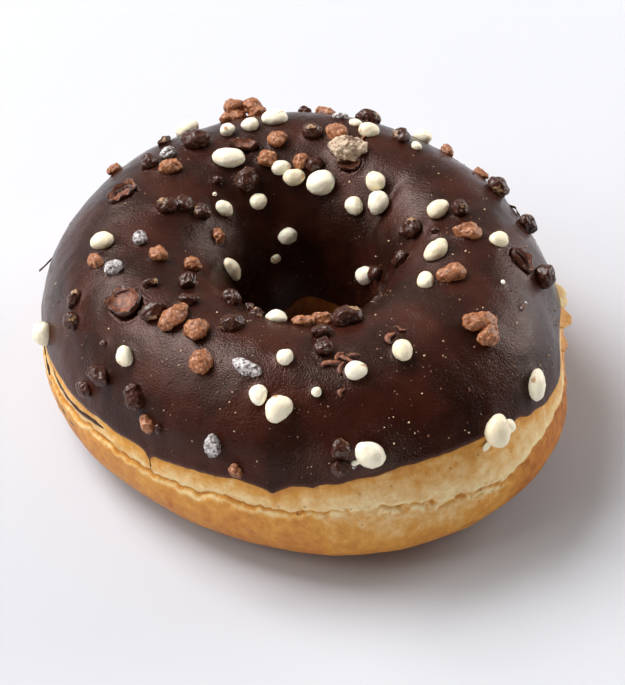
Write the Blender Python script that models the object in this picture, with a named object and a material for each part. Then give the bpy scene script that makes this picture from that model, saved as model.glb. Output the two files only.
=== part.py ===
"""Ring doughnut: a raised dough ring under a chocolate glaze with coated crisps set in it.

Two solids: "dough", the whole ring with its flat foot and the crease round its side, and
"icing", the glaze skin over its top with every crisp fused to it. Sizes are in millimetres and
angles in degrees. A place on the ring is a pair of angles: the ring angle runs round the hole
from +X towards +Y, and the tube angle runs round the section, 0 outward, 90 up, 180 at the hole.
"""
import math
import random

import bmesh
import bpy
from mathutils import Matrix, Vector

MM = 0.001

# Ring
OUTER_RADIUS = 46.2
HOLE_RADIUS = 10.3
HEIGHT = 36.4
WAIST_HEIGHT = 11.4          # level of the widest section
LOWER_HEIGHT = 11.9          # the section's lower half, cut flat by the table
UPPER_POWER = 2.2            # 2 is an ellipse, more is squarer
LOWER_POWER = 2.4
OVAL = 0.069                 # how much longer the ring is along OVAL_AT
OVAL_AT = 133
THREE_LOBE = 0.014
THREE_LOBE_AT = 57
DENT = 1.0                   # the side is pushed in a little at DENT_AT
DENT_AT = 346
DENT_WIDTH = 8
HOLE_SHIFT = (1.0, 0.9)      # the hole is a little off centre
RING_CENTRE = (1.25, -0.63)  # sets the whole part evenly about the origin

# Glaze
GLAZE_TOP = 0.25             # outer face, above the ring's nominal skin
GLAZE_UNDER = -1.2
DOUGH_UNDER_GLAZE = -1.5     # leaves a gap of 0.3 under the glaze
EDGE_GAP = 1.6               # tube angle between the glaze's edge and the dough's step
LIP_LIFT = 0.05              # height of the glaze's very edge above the ring's nominal skin
LIP_STEP = 1.5               # tube angle over which it reaches its full height
HOLE_EDGE = 181              # tube angle of the glaze's edge in the hole
HOLE_EDGE_WAVE = 2.5

# Outer edge of the glaze, as ring angle and tube angle
OUTER_EDGE = [(0, 14), (18, 11), (32, 7), (50, 9), (66, 5.5), (84, 8), (104, 6), (122, 9),
              (138, 8), (160, 12), (175, 15), (190, 14), (220, 15.5), (236, 15.5), (245, 18), (252, 20),
              (260, 18.5), (265, 22), (273, 24), (280, 26), (288, 28.5), (300, 28), (306, 27),
              (310, 23), (315, 24), (320, 20), (326, 16), (332, 15), (340, 19), (350, 17)]

# Dough
CREASE = 7                   # tube angle of the crease round the side
CREASE_WANDER = 2.5
CREASE_DEPTH = 0.8
CREASE_WIDTH = 2.2           # in tube angle
LOBE_SWELL = 0.25            # how far the lobe under the crease stands out

# Facets
COLUMNS = 72
GLAZE_ROWS = 13
UNDER_ROWS = 8               # shared by the glaze's under face and the dough, so they run parallel
PEBBLE_SIDES = 5
PEBBLE_RINGS = 4
RIM_SIDES = 12
PEBBLE_SWELL = 1.06          # makes up for what the flat facets cut off

# Crisps
CENTRE_STANDS = 0.25         # a crisp's centre above the glaze, as a share of its height
FLATNESS = 0.88              # a crisp's height, as a share of its breadth
VIEW_HEIGHT = 43.5           # the places below were read by eye from this angle above the table
VIEW = Vector((0, -math.cos(math.radians(VIEW_HEIGHT)), math.sin(math.radians(VIEW_HEIGHT))))
STEEPEST = 0.35              # past this slope a crisp stands along the skin's own normal
RIM_WALL = 0.9               # standing rim of a broken crisp
RIM_HEIGHT = 2.0
HIDDEN_COUNT = 26
HIDDEN_SPACING = 5.0
HIDDEN_TRIES = 1500
HIDDEN_SLOPE = -0.45         # how far the skin faces away from that view where they lie
SEED = 7

# Places of the crisps that show: ring angle, tube angle, length, breadth, turn.
# Turn 0 lies along the ring and 90 lies across it.
WHITE = [
    (116, 50, 4.6, 3.4, -26), (102, 77, 3.3, 2.9, 0), (94, 72, 4.7, 3.4, 0),
    (171.5, 74, 4.4, 3.3, 93), (131.5, 122, 3.4, 2.6, 103), (111, 127, 3.1, 3.0, 0),
    (115, 98, 6.0, 3.8, 152), (95, 111.5, 3.6, 2.7, 5), (89.5, 118, 4.0, 3.3, 0),
    (75.5, 121, 5.2, 4.4, 25), (63.5, 78, 3.8, 3.0, 15), (52, 50, 3.6, 3.2, 0),
    (47.5, 111, 3.9, 3.3, 160), (39.5, 121, 4.4, 3.8, 110), (52.5, 129, 3.6, 3.2, 155),
    (12.5, 97.5, 4.3, 3.2, 117), (348.5, 102.5, 5.0, 3.5, -38), (330.5, 105, 3.9, 2.9, 25),
    (355.5, 71, 3.8, 3.0, -55), (157, 145, 4.6, 2.8, 80), (97.5, 147.5, 3.4, 3.2, 0),
    (255, 116, 3.8, 3.0, 0), (27, 158, 4.8, 3.3, 40), (213.5, 52, 3.7, 3.0, 136),
    (262.5, 86, 2.9, 2.8, 0), (256, 62.5, 3.5, 3.1, 95), (261.5, 57.5, 5.0, 4.2, 59),
    (283.5, 78, 3.7, 3.3, 0), (298.5, 82, 4.0, 3.4, 60), (281.5, 36.5, 5.2, 4.4, -37),
    (324, 28, 5.7, 3.2, 46), (309.5, 26, 5.8, 4.6, -105), (183, 22, 4.4, 4.0, 90),
]
MILK = [
    (133.5, 86, 4.2, 3.0, 141), (180.5, 100, 3.2, 2.6, 80), (179, 69.5, 3.1, 2.7, 10),
    (94.5, 93, 3.5, 3.2, 0), (100.5, 105, 3.7, 3.0, 10), (85.5, 108.5, 3.1, 2.6, 40),
    (80, 52, 3.8, 2.6, 0), (103, 50, 3.6, 3.4, 0), (98, 52, 3.4, 3.2, 0),
    (357.5, 87.5, 4.9, 3.2, 82), (336, 93.5, 5.5, 3.3, -61), (322, 71, 6.3, 3.6, -47),
    (320.5, 63, 4.2, 3.4, 10), (183, 118, 3.3, 2.5, 67), (217, 85.5, 6.4, 3.5, 95),
    (228, 86, 4.4, 4.0, 40), (236.5, 70, 4.5, 3.8, 113), (226.5, 28, 3.4, 2.4, 118),
    (279, 118, 4.2, 3.0, 0), (270, 118, 4.4, 2.2, 0), (74.5, 82, 3.4, 2.6, 0),
]
DARK = [
    (119, 76, 5.2, 4.0, 136), (135, 73, 3.2, 3.0, 0), (151.5, 100, 4.2, 3.4, 110),
    (146, 106, 3.5, 3.2, 0), (143.5, 115.5, 3.3, 3.1, 0), (112.5, 113.5, 4.8, 3.8, 53),
    (80, 110, 3.7, 2.6, 0), (82, 88, 3.7, 3.1, 0), (68.5, 52, 4.6, 3.4, 0), (54, 70, 3.2, 3.0, 0),
    (22, 51, 5.0, 4.0, 110), (10, 43, 3.8, 3.2, 90), (10, 87, 3.2, 3.0, 0),
    (9.5, 117, 4.4, 3.6, 80), (354.5, 37, 4.5, 4.0, 0), (184.5, 78, 3.5, 2.8, 70),
    (199.5, 108.5, 3.7, 3.0, 80), (212.5, 99, 3.3, 2.5, 50), (209.5, 81.5, 5.0, 3.4, 85),
    (186.5, 50, 3.6, 2.6, 98), (191, 43, 3.4, 3.2, 0), (208, 34.5, 4.8, 3.2, -3),
    (204.5, 23, 3.7, 2.6, 0), (221, 37.5, 5.0, 3.3, 129), (245.5, 32, 3.9, 2.8, 100),
    (223, 119, 3.7, 3.4, 0), (237.5, 99, 4.8, 3.2, 42), (277, 107, 3.8, 2.3, 0),
    (276, 93, 3.2, 3.1, 0), (290, 112, 5.8, 4.2, 0), (5, 147, 3.3, 2.7, 40),
    (355, 128, 3.7, 2.5, 110), (251, 75.5, 5.6, 2.6, -8), (275.8, 40, 3.4, 3.3, 0),
    (275, 31, 3.1, 3.0, 0), (69.5, 97, 6.8, 4.6, 10), (67, 104, 3.6, 3.2, 0),
]

# Crisps that lie on others: ring angle, tube angle, length, breadth, turn, lift
PERCHED = [
    (103.5, 49, 3.9, 3.5, 0, 1.7), (98.8, 50, 3.8, 3.6, 0, 1.2),
]

# Broken crisps, open on top: ring angle, tube angle, length, breadth, turn
BROKEN = [
    (199.5, 73.5, 6.8, 5.8, 10), (150, 75, 6.2, 3.8, 155), (107, 92, 5.4, 2.8, 150),
    (352, 56, 5.4, 3.6, 56), (64, 104, 4.0, 3.0, 0),
]


def mix_round(table, angle):
    """Read a closed table of (angle, value) pairs at an angle, easing between its rows."""
    angle = angle % 360
    rows = table + [(table[0][0] + 360, table[0][1])]
    for (low, low_value), (high, high_value) in zip(rows, rows[1:]):
        if low <= angle <= high:
            share = 0.5 - 0.5 * math.cos(math.pi * (angle - low) / (high - low))
            return low_value + share * (high_value - low_value)
    return rows[0][1]


def signed_power(value, power):
    return math.copysign(abs(value) ** power, value)


def skin(ring, tube):
    """A point on the ring's nominal skin."""
    turn = math.radians(ring)
    angle = math.radians(tube)
    stretch = (1 + OVAL * math.cos(2 * math.radians(ring - OVAL_AT))
               + THREE_LOBE * math.cos(3 * math.radians(ring - THREE_LOBE_AT)))
    away = ((ring - DENT_AT + 180) % 360 - 180) / DENT_WIDTH
    outer = OUTER_RADIUS * stretch - DENT * math.exp(-away * away)
    inner = HOLE_RADIUS + HOLE_SHIFT[0] * math.cos(turn) + HOLE_SHIFT[1] * math.sin(turn)
    power = 2 / (UPPER_POWER if math.sin(angle) > 0 else LOWER_POWER)
    across = signed_power(math.cos(angle), power)
    rise = signed_power(math.sin(angle), power)
    radius = (outer + inner) / 2 + across * (outer - inner) / 2
    half = HEIGHT - WAIST_HEIGHT if rise > 0 else LOWER_HEIGHT
    height = max(0.0, WAIST_HEIGHT + rise * half)
    return Vector((RING_CENTRE[0] + radius * math.cos(turn),
                   RING_CENTRE[1] + radius * math.sin(turn), height))


def frame_at(ring, tube):
    """The skin's point with its directions along the ring, across it and outward."""
    along = (skin(ring + 1, tube) - skin(ring - 1, tube)).normalized()
    across = (skin(ring, tube + 2) - skin(ring, tube - 2)).normalized()
    outward = along.cross(across).normalized()
    return skin(ring, tube), along, outward.cross(along), outward


def lifted(ring, tube, lift):
    point, _, _, outward = frame_at(ring, tube)
    return point + outward * lift


def outer_edge(ring):
    return mix_round(OUTER_EDGE, ring)


def hole_edge(ring):
    return (HOLE_EDGE + HOLE_EDGE_WAVE * math.sin(math.radians(3 * ring + 40))
            + 0.4 * HOLE_EDGE_WAVE * math.sin(math.radians(7 * ring)))


def crease_angle(ring):
    return CREASE + CREASE_WANDER * math.sin(math.radians(3 * ring + 65))


def glaze_relief(ring, tube):
    """Soft swells and troughs that the poured glaze keeps."""
    fade = math.sin(math.radians(max(0.0, min(180.0, tube))))
    waves = (0.16 * math.sin(math.radians(4 * ring + 2 * tube))
             + 0.12 * math.sin(math.radians(7 * ring - 3 * tube + 50))
             + 0.10 * math.cos(math.radians(11 * ring + tube)))
    return waves * fade


def dough_relief(ring, tube):
    """The crease round the side and the lobe that swells under it."""
    away = (tube - crease_angle(ring)) / CREASE_WIDTH
    crease = -CREASE_DEPTH * math.exp(-away * away)
    below = max(0.0, min(1.0, (crease_angle(ring) - tube) / 8))
    sag = max(0.0, min(1.0, (tube + 50) / 40))
    return crease + LOBE_SWELL * below * sag


def closed_grid(name, rows):
    """A closed tube round the hole from a function that gives one column's points."""
    mesh = bpy.data.meshes.new(name)
    body = bmesh.new()
    columns = []
    for step in range(COLUMNS):
        points = rows(360 * step / COLUMNS)
        columns.append([body.verts.new(point * MM) for point in points])
    for here, there in zip(columns, columns[1:] + columns[:1]):
        for row, vertex in enumerate(here):
            after = (row + 1) % len(here)
            body.faces.new((vertex, there[row], there[after], here[after]))
    bmesh.ops.recalc_face_normals(body, faces=body.faces)
    bmesh.ops.triangulate(body, faces=body.faces)
    body.to_mesh(mesh)
    body.free()
    mesh.shade_smooth()
    item = bpy.data.objects.new(name, mesh)
    bpy.context.scene.collection.objects.link(item)
    return item


def spread(start, end, count):
    return [start + (end - start) * step / count for step in range(count + 1)]


def dough_column(ring):
    """One section of the dough, from the glaze's outer edge over the top and back underneath."""
    outer = outer_edge(ring) - EDGE_GAP
    inner = hole_edge(ring) + EDGE_GAP
    top = [outer] + spread(outer_edge(ring), hole_edge(ring), UNDER_ROWS)[1:-1] + [inner]
    points = [lifted(ring, tube, DOUGH_UNDER_GLAZE) for tube in top]
    inside = [inner + 1, 195, 210, 225, 240]
    under = [255, 285, 303]
    outside = [320, 335, 348, 360 + crease_angle(ring) - 2,
               360 + crease_angle(ring), 360 + crease_angle(ring) + 2, 360 + outer - 1]
    points += [lifted(ring, tube, 0.0) for tube in inside]
    points += [skin(ring, tube) for tube in under]
    points += [lifted(ring, tube, dough_relief(ring, tube - 360)) for tube in outside]
    return points


def icing_column(ring):
    """One section of the glaze skin: its outer face, then its under face."""
    outer = outer_edge(ring)
    inner = hole_edge(ring)
    points = [lifted(ring, outer, LIP_LIFT)]
    for tube in spread(outer + LIP_STEP, inner - LIP_STEP, GLAZE_ROWS):
        points.append(lifted(ring, tube, GLAZE_TOP + glaze_relief(ring, tube)))
    points.append(lifted(ring, inner, LIP_LIFT))
    points += [lifted(ring, tube, GLAZE_UNDER) for tube in spread(inner, outer, UNDER_ROWS)]
    return points


def seat(ring, tube, height):
    """Where a crisp's centre stands, and its turn to the skin, for one that shows."""
    point, along, across, outward = frame_at(ring, tube)
    stands = GLAZE_TOP + CENTRE_STANDS * height
    facing = outward.dot(VIEW)
    if facing > STEEPEST:
        centre = point + VIEW * (stands / facing)
    else:
        centre = point + outward * stands
    return centre, Matrix((along, across, outward)).transposed()


def put(group, name, body, centre, turn):
    """Turn a small body's mesh into place and add it to the group that gets fused."""
    place = Matrix.Translation(centre * MM) @ turn.to_4x4()
    body.transform(place)
    mesh = bpy.data.meshes.new(name)
    body.to_mesh(mesh)
    body.free()
    group.objects.link(bpy.data.objects.new(name, mesh))


def pebble(group, name, place, rough, draws):
    """A rounded crisp with few sides, its corners pushed in and out by a seeded draw."""
    ring, tube, length, breadth, turn = place[:5]
    height = FLATNESS * breadth
    centre, facing = seat(ring, tube, height)
    centre += facing.col[2] * sum(place[5:])
    body = bmesh.new()
    bmesh.ops.create_uvsphere(body, u_segments=PEBBLE_SIDES, v_segments=PEBBLE_RINGS, radius=0.5)
    bmesh.ops.rotate(body, verts=body.verts, cent=(0, 0, 0),
                     matrix=Matrix.Rotation(draws.uniform(0, math.pi), 3, "Z"))
    for vertex in body.verts:
        push = PEBBLE_SWELL + draws.uniform(-rough, rough)
        vertex.co = Vector((vertex.co.x * length, vertex.co.y * breadth,
                            vertex.co.z * height)) * push * MM
    bmesh.ops.triangulate(body, faces=body.faces)
    spin = Matrix.Rotation(math.radians(turn), 3, "Z")
    put(group, name, body, centre, facing @ spin)


def rim(group, name, place, draws):
    """The standing rim of a crisp that has broken open."""
    ring, tube, length, breadth, turn = place
    centre, facing = seat(ring, tube, 0.3 * RIM_HEIGHT)
    body = bmesh.new()
    loops = []
    for step in range(RIM_SIDES):
        angle = 2 * math.pi * step / RIM_SIDES
        jag = draws.uniform(-0.15, 0.25)
        out = Vector((math.cos(angle) * length / 2, math.sin(angle) * breadth / 2, 0))
        inward = out - out.normalized() * RIM_WALL
        deep = Vector((0, 0, -RIM_HEIGHT / 2))
        loops.append([body.verts.new(point * MM) for point in (
            out + deep, out * 0.98 + Vector((0, 0, RIM_HEIGHT * 0.3 + jag)),
            inward + Vector((0, 0, RIM_HEIGHT * 0.22 + jag)), inward * 0.9 + deep)])
    for here, there in zip(loops, loops[1:] + loops[:1]):
        for row in range(4):
            after = (row + 1) % 4
            body.faces.new((here[row], there[row], there[after], here[after]))
    bmesh.ops.recalc_face_normals(body, faces=body.faces)
    bmesh.ops.triangulate(body, faces=body.faces)
    spin = Matrix.Rotation(math.radians(turn), 3, "Z")
    put(group, name, body, centre, facing @ spin)


def hidden_places(draws):
    """Crisps on the faces that the places above leave bare, kept a spacing apart."""
    taken = [skin(*place[:2]) for place in WHITE + MILK + DARK + BROKEN]
    places = []
    for _ in range(HIDDEN_TRIES):
        if len(places) == HIDDEN_COUNT:
            break
        ring = draws.uniform(0, 360)
        tube = draws.uniform(outer_edge(ring) + 7, hole_edge(ring) - 12)
        spot, _, _, outward = frame_at(ring, tube)
        apart = all((spot - other).length > HIDDEN_SPACING for other in taken)
        if apart and outward.dot(VIEW) < HIDDEN_SLOPE:
            taken.append(spot)
            breadth = draws.uniform(2.4, 3.8)
            places.append((ring, tube, breadth * draws.uniform(1.0, 1.45), breadth,
                           draws.uniform(0, 180)))
    return places


def fuse(item, group):
    """Join a group's objects to one solid and remove them."""
    join = item.modifiers.new("crisps", "BOOLEAN")
    join.operation = "UNION"
    join.operand_type = "COLLECTION"
    join.collection = group
    join.solver = "MANIFOLD"
    bpy.context.view_layer.update()
    fused = bpy.data.meshes.new_from_object(
        item.evaluated_get(bpy.context.evaluated_depsgraph_get()))
    item.modifiers.clear()
    item.data = fused
    for small in list(group.objects):
        bpy.data.objects.remove(small, do_unlink=True)
    bpy.data.collections.remove(group)


def coat(item, name, colour, roughness):
    """Give an object its own plain material."""
    material = bpy.data.materials.new(name)
    material.use_nodes = True
    shader = material.node_tree.nodes["Principled BSDF"]
    shader.inputs["Base Color"].default_value = colour
    shader.inputs["Roughness"].default_value = roughness
    shader.inputs["Metallic"].default_value = 0.0
    item.data.materials.clear()
    item.data.materials.append(material)


def make_dough():
    dough = closed_grid("dough", dough_column)
    coat(dough, "baked dough", (0.72, 0.45, 0.17, 1), 0.75)


def make_icing():
    icing = closed_grid("icing", icing_column)
    group = bpy.data.collections.new("crisps")
    bpy.context.scene.collection.children.link(group)
    draws = random.Random(SEED)
    kinds = (("white", WHITE, 0.03), ("milk", MILK + PERCHED, 0.07), ("dark", DARK, 0.07),
             ("hidden", hidden_places(draws), 0.05))
    for kind, places, rough in kinds:
        for number, place in enumerate(places):
            pebble(group, f"{kind}_{number}", place, rough, draws)
    for number, place in enumerate(BROKEN):
        rim(group, f"broken_{number}", place, draws)
    fuse(icing, group)
    coat(icing, "chocolate glaze", (0.075, 0.035, 0.025, 1), 0.35)


def main():
    for item in list(bpy.data.objects):
        bpy.data.objects.remove(item, do_unlink=True)
    make_dough()
    make_icing()


main()
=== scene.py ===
"""Chocolate doughnut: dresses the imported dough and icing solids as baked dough, poured glaze and
coated crisps. Sizes are in millimetres and angles in degrees. A place on the ring is a pair of
angles: the ring angle runs round the hole from +X towards +Y, and the tube angle runs round the
section, 0 outward, 90 up, 180 at the hole.
"""
import math
import random
from functools import partial

import bmesh
import bpy
import numpy as np
from bpy.props import FloatProperty, FloatVectorProperty, IntProperty, PointerProperty
from mathutils import Matrix, Vector, noise


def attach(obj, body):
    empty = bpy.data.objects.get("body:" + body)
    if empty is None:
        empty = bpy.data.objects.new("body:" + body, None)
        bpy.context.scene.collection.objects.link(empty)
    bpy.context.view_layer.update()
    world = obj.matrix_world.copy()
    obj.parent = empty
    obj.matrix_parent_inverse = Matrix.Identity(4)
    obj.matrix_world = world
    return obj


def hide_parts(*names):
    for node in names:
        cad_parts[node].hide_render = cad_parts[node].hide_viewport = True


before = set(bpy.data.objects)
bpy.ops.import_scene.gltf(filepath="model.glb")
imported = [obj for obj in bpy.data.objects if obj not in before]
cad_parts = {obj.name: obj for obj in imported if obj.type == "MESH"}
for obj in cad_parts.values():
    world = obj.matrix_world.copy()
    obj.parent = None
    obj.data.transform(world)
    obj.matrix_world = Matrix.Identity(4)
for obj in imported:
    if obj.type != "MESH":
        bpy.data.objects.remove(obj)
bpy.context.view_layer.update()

bl_info = {
    "name": "Chocolate doughnut",
    "version": (1, 0, 0),
    "blender": (4, 5, 0),
    "location": "View3D > Sidebar > Doughnut",
    "description": "Baked dough, poured chocolate glaze and coated crisps on the packed solids",
    "category": "Object",
}

MM = 0.001

# Ring, as the solids have it
OUTER_RADIUS = 46.2
HOLE_RADIUS = 10.3
HEIGHT = 36.4
WAIST_HEIGHT = 11.4
LOWER_HEIGHT = 11.9
UPPER_POWER = 2.2
LOWER_POWER = 2.4
OVAL = 0.069
OVAL_AT = 133
THREE_LOBE = 0.014
THREE_LOBE_AT = 57
DENT = 1.0
DENT_AT = 346
DENT_WIDTH = 8
HOLE_SHIFT = (1.0, 0.9)
RING_CENTRE = (1.25, -0.63)

# Glaze, as the icing solid has it
GLAZE_TOP = 0.25
GLAZE_UNDER = -1.2
DOUGH_UNDER_GLAZE = -1.5
HOLE_EDGE = 181
HOLE_EDGE_WAVE = 2.5
OUTER_EDGE = [(0, 14), (18, 11), (32, 7), (50, 9), (66, 5.5), (84, 8), (104, 6), (122, 9),
              (138, 8), (160, 12), (175, 15), (190, 14), (220, 15.5), (236, 15.5), (245, 18), (252, 20),
              (260, 18.5), (265, 22), (273, 24), (280, 26), (288, 28.5), (300, 28), (306, 27),
              (310, 23), (315, 24), (320, 20), (326, 16), (332, 15), (340, 19), (350, 17)]
DRIPS = [(228, 3.2, 1.0), (260, 1.6, 1.4), (269, 1.2, 1.2)]   # ring angle, depth, half width

# Crease between the pale band and the lobe under it, as ring angle and tube angle
CREASE_LINE = [(185, 4.6), (198.5, 5), (209.5, 7), (217.5, 6.5), (225, 6), (242.5, 7), (249, 9.3),
               (255, 8.6), (265, 9.4), (271, 10.3), (276, 11), (282, 11.5), (289, 10), (297, 7),
               (302, 5), (310, 3), (325, 4)]
CREASE = 7
CREASE_WANDER = 2.5

# Crisps that show: ring angle, tube angle, length, breadth, turn from along the ring
WHITE = [
    (116, 50, 4.6, 3.4, -26), (102, 77, 3.3, 2.9, 0), (94, 72, 4.7, 3.4, 0),
    (171.5, 74, 4.4, 3.3, 93), (131.5, 122, 3.4, 2.6, 103), (111, 127, 3.1, 3.0, 0),
    (115, 98, 6.0, 3.8, 152), (95, 111.5, 3.6, 2.7, 5), (89.5, 118, 4.0, 3.3, 0),
    (75.5, 121, 5.2, 4.4, 25), (63.5, 78, 3.8, 3.0, 15), (52, 50, 3.6, 3.2, 0),
    (47.5, 111, 3.9, 3.3, 160), (39.5, 121, 4.4, 3.8, 110), (52.5, 129, 3.6, 3.2, 155),
    (12.5, 97.5, 4.3, 3.2, 117), (348.5, 102.5, 5.0, 3.5, -38), (330.5, 105, 3.9, 2.9, 25),
    (355.5, 71, 3.8, 3.0, -55), (157, 145, 4.6, 2.8, 80), (97.5, 147.5, 3.4, 3.2, 0),
    (255, 116, 3.8, 3.0, 0), (27, 158, 4.8, 3.3, 40), (213.5, 52, 3.7, 3.0, 136),
    (262.5, 86, 2.9, 2.8, 0), (256, 62.5, 3.5, 3.1, 95), (261.5, 57.5, 5.0, 4.2, 59),
    (283.5, 78, 3.7, 3.3, 0), (298.5, 82, 4.0, 3.4, 60), (281.5, 36.5, 5.2, 4.4, -37),
    (324, 28, 5.7, 3.2, 46), (309.5, 26, 5.8, 4.6, -105), (183, 22, 4.4, 4.0, 90),
    (109, 77, 2.7, 2.6, 0), (69, 72, 2.6, 1.8, 0), (46.5, 74, 1.9, 1.6, 0),
    (110.5, 156.5, 1.9, 1.6, 0), (271.5, 67.5, 1.8, 1.8, 0),
    (306.3, 22.8, 2.0, 1.1, 30), (312.3, 24.5, 2.8, 2.5, 0), (278.5, 33.6, 1.7, 0.9, 20),
    (352.4, 74, 1.5, 0.8, 0), (256, 58.6, 1.1, 0.8, 0), (131, 113, 0.8, 0.7, 0),
    (339, 68, 0.9, 0.8, 0),
]
MILK = [
    (133.5, 86, 4.2, 3.0, 141), (180.5, 100, 3.2, 2.6, 80), (179, 69.5, 3.1, 2.7, 10),
    (94.5, 93, 3.5, 3.2, 0), (100.5, 105, 3.7, 3.0, 10), (85.5, 108.5, 3.1, 2.6, 40),
    (80, 52, 3.8, 2.6, 0), (103, 50, 3.6, 3.4, 0), (98, 52, 3.4, 3.2, 0),
    (357.5, 87.5, 4.9, 3.2, 82), (336, 93.5, 5.5, 3.3, -61), (322, 71, 6.3, 3.6, -47),
    (320.5, 63, 4.2, 3.4, 10), (183, 118, 3.3, 2.5, 67), (217, 85.5, 6.4, 3.5, 95),
    (228, 86, 4.4, 4.0, 40), (236.5, 70, 4.5, 3.8, 113), (226.5, 28, 3.4, 2.4, 118),
    (279, 118, 4.2, 3.0, 0), (270, 118, 4.4, 2.2, 0), (73, 87, 4.0, 3.2, 0),
    (106.5, 57, 2.6, 2.4, 0), (138, 50, 2.8, 2.4, 0), (43, 52, 2.4, 2.2, 0), (31, 47, 3.4, 2.0, 0),
    (251.5, 24, 2.7, 2.1, 140), (147, 130, 3.0, 2.4, 40),
]
PERCHED = [(103.5, 49, 3.9, 3.5, 0, 1.7), (98.8, 50, 3.8, 3.6, 0, 1.2)]     # on others, with lift
DARK = [
    (119, 76, 5.2, 4.0, 136), (135, 73, 3.2, 3.0, 0), (151.5, 100, 4.2, 3.4, 110),
    (146, 106, 3.5, 3.2, 0), (143.5, 115.5, 3.3, 3.1, 0), (112.5, 113.5, 4.8, 3.8, 53),
    (80, 110, 3.7, 2.6, 0), (82, 88, 3.7, 3.1, 0), (68.5, 52, 4.6, 3.4, 0), (54, 70, 3.2, 3.0, 0),
    (22, 51, 5.0, 4.0, 110), (10, 43, 3.8, 3.2, 90), (10, 87, 3.2, 3.0, 0),
    (9.5, 117, 4.4, 3.6, 80), (354.5, 37, 4.5, 4.0, 0),
    (199.5, 108.5, 3.7, 3.0, 80), (212.5, 99, 3.3, 2.5, 50), (209.5, 81.5, 5.0, 3.4, 85),
    (186.5, 50, 3.6, 2.6, 98), (191, 43, 3.4, 3.2, 0), (208, 34.5, 4.8, 3.2, -3),
    (204.5, 23, 3.7, 2.6, 0), (221, 37.5, 5.0, 3.3, 129),
    (223, 119, 3.7, 3.4, 0), (237.5, 99, 4.8, 3.2, 42), (277, 107, 3.8, 2.3, 0),
    (276, 93, 3.2, 3.1, 0), (290, 112, 5.8, 4.2, 0), (5, 147, 3.3, 2.7, 40),
    (355, 128, 3.7, 2.5, 110), (275.8, 40, 3.4, 3.3, 0),
    (275, 31, 3.1, 3.0, 0), (67, 104, 2.6, 2.2, 0), (125, 62, 2.6, 2.0, 0),
    (85.5, 52, 2.5, 2.4, 0), (1, 104, 1.9, 1.6, 0), (196.5, 90, 2.5, 1.9, 80),
    (230, 29, 2.0, 1.5, 100), (233, 124, 2.2, 2.0, 0), (240, 124, 2.0, 1.8, 0),
    (243, 114, 2.4, 1.9, 0), (125.5, 107, 1.8, 1.3, 0), (205, 50, 1.2, 0.8, 0),
]
BLOOMED = [
    (184.5, 78, 3.5, 2.8, 70), (245.5, 32, 3.9, 2.8, 100), (251, 75.5, 5.6, 2.6, -8),
    (171.5, 92, 2.6, 2.5, 0), (74.5, 70, 3.0, 1.7, 0), (129, 76, 3.0, 2.4, 0),
    (335, 55, 1.1, 0.6, 0), (337.5, 53, 0.9, 0.6, 60), (278, 31.5, 1.0, 0.7, 0),
]
PUFFED = [(67, 96.5, 6.8, 4.8, 10)]
BROKEN = [
    (199.5, 73.5, 6.8, 5.8, 10), (150, 75, 6.2, 3.8, 155), (107, 92, 5.4, 2.8, 150),
    (352, 56, 5.4, 3.6, 56), (63.5, 105.5, 4.6, 3.4, 0),
]
HIDDEN_KINDS = ("white", "milk", "dark")      # the unseen crisps take these kinds in turn

# Size and height of each kind's lumps, then of its grain
FINISHES = {
    "white": (2.5, 0.75, 0.6, 0.04), "milk": (1.9, 1.7, 0.7, 0.3), "dark": (1.7, 1.5, 0.75, 0.3),
    "bloomed": (1.7, 1.2, 0.6, 0.3), "puffed": (2.0, 2.6, 0.7, 0.9),
}
TAPER = 0.12        # the most that a crisp narrows towards one end, as a share
BEND = 0.16         # the most that it bows, as a share
# Share of a full collar that the glaze climbs round each kind
CLIMB = {"white": 0.5, "milk": 0.5, "dark": 0.6, "bloomed": 0.5, "puffed": 0.6, "broken": 0.6}
BROKEN_HOLLOW = 1.0     # how far the glaze is kept down inside a crisp that broke open

# Crisps, as the icing solid has them
CENTRE_STANDS = 0.25
FLATNESS = 0.88
VIEW_HEIGHT = 43.5
VIEW = np.array((0, -math.cos(math.radians(VIEW_HEIGHT)), math.sin(math.radians(VIEW_HEIGHT))))
STEEPEST = 0.35
HIDDEN_COUNT = 26
HIDDEN_SPACING = 5.0
HIDDEN_TRIES = 1500
HIDDEN_SLOPE = -0.45
SEED = 7

# Sections round the ring in each of the two large meshes
DOUGH_COLUMNS = 900
GLAZE_COLUMNS = 720
FOOT = -56.0            # tube angles where the flat foot starts, on the outside and in the hole
INNER_FOOT = 244
CAMERA_TARGET = (2.3, -0.63, 11.86)     # the point that the camera looks at

# Blender's own names for the nodes that come up most
NOISE, VORONOI, RAMP = "ShaderNodeTexNoise", "ShaderNodeTexVoronoi", "ShaderNodeValToRGB"
RANGE, MIX, BUMP = "ShaderNodeMapRange", "ShaderNodeMix", "ShaderNodeBump"
MATH, VECTOR_MATH, ATTRIBUTE = "ShaderNodeMath", "ShaderNodeVectorMath", "ShaderNodeAttribute"

# Thin curls and flakes of chocolate: ring angle, tube angle, length, width, turn
CURLS = [
    (277, 83, 3.6, 1.0, 15), (279.5, 80, 2.8, 0.8, 75), (282, 84, 3.2, 0.9, -30),
    (280, 87, 2.4, 0.8, 50), (284.5, 86, 2.0, 0.7, 5), (298, 90, 3.0, 1.4, 45),
    (303, 92, 2.2, 0.8, 110), (16, 43, 3.2, 1.8, 20), (335, 55, 1.4, 0.7, 30),
    (278, 67, 1.8, 1.0, 60), (63, 86, 2.6, 0.9, 100),
]
CURL_THICK = 0.13
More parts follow.
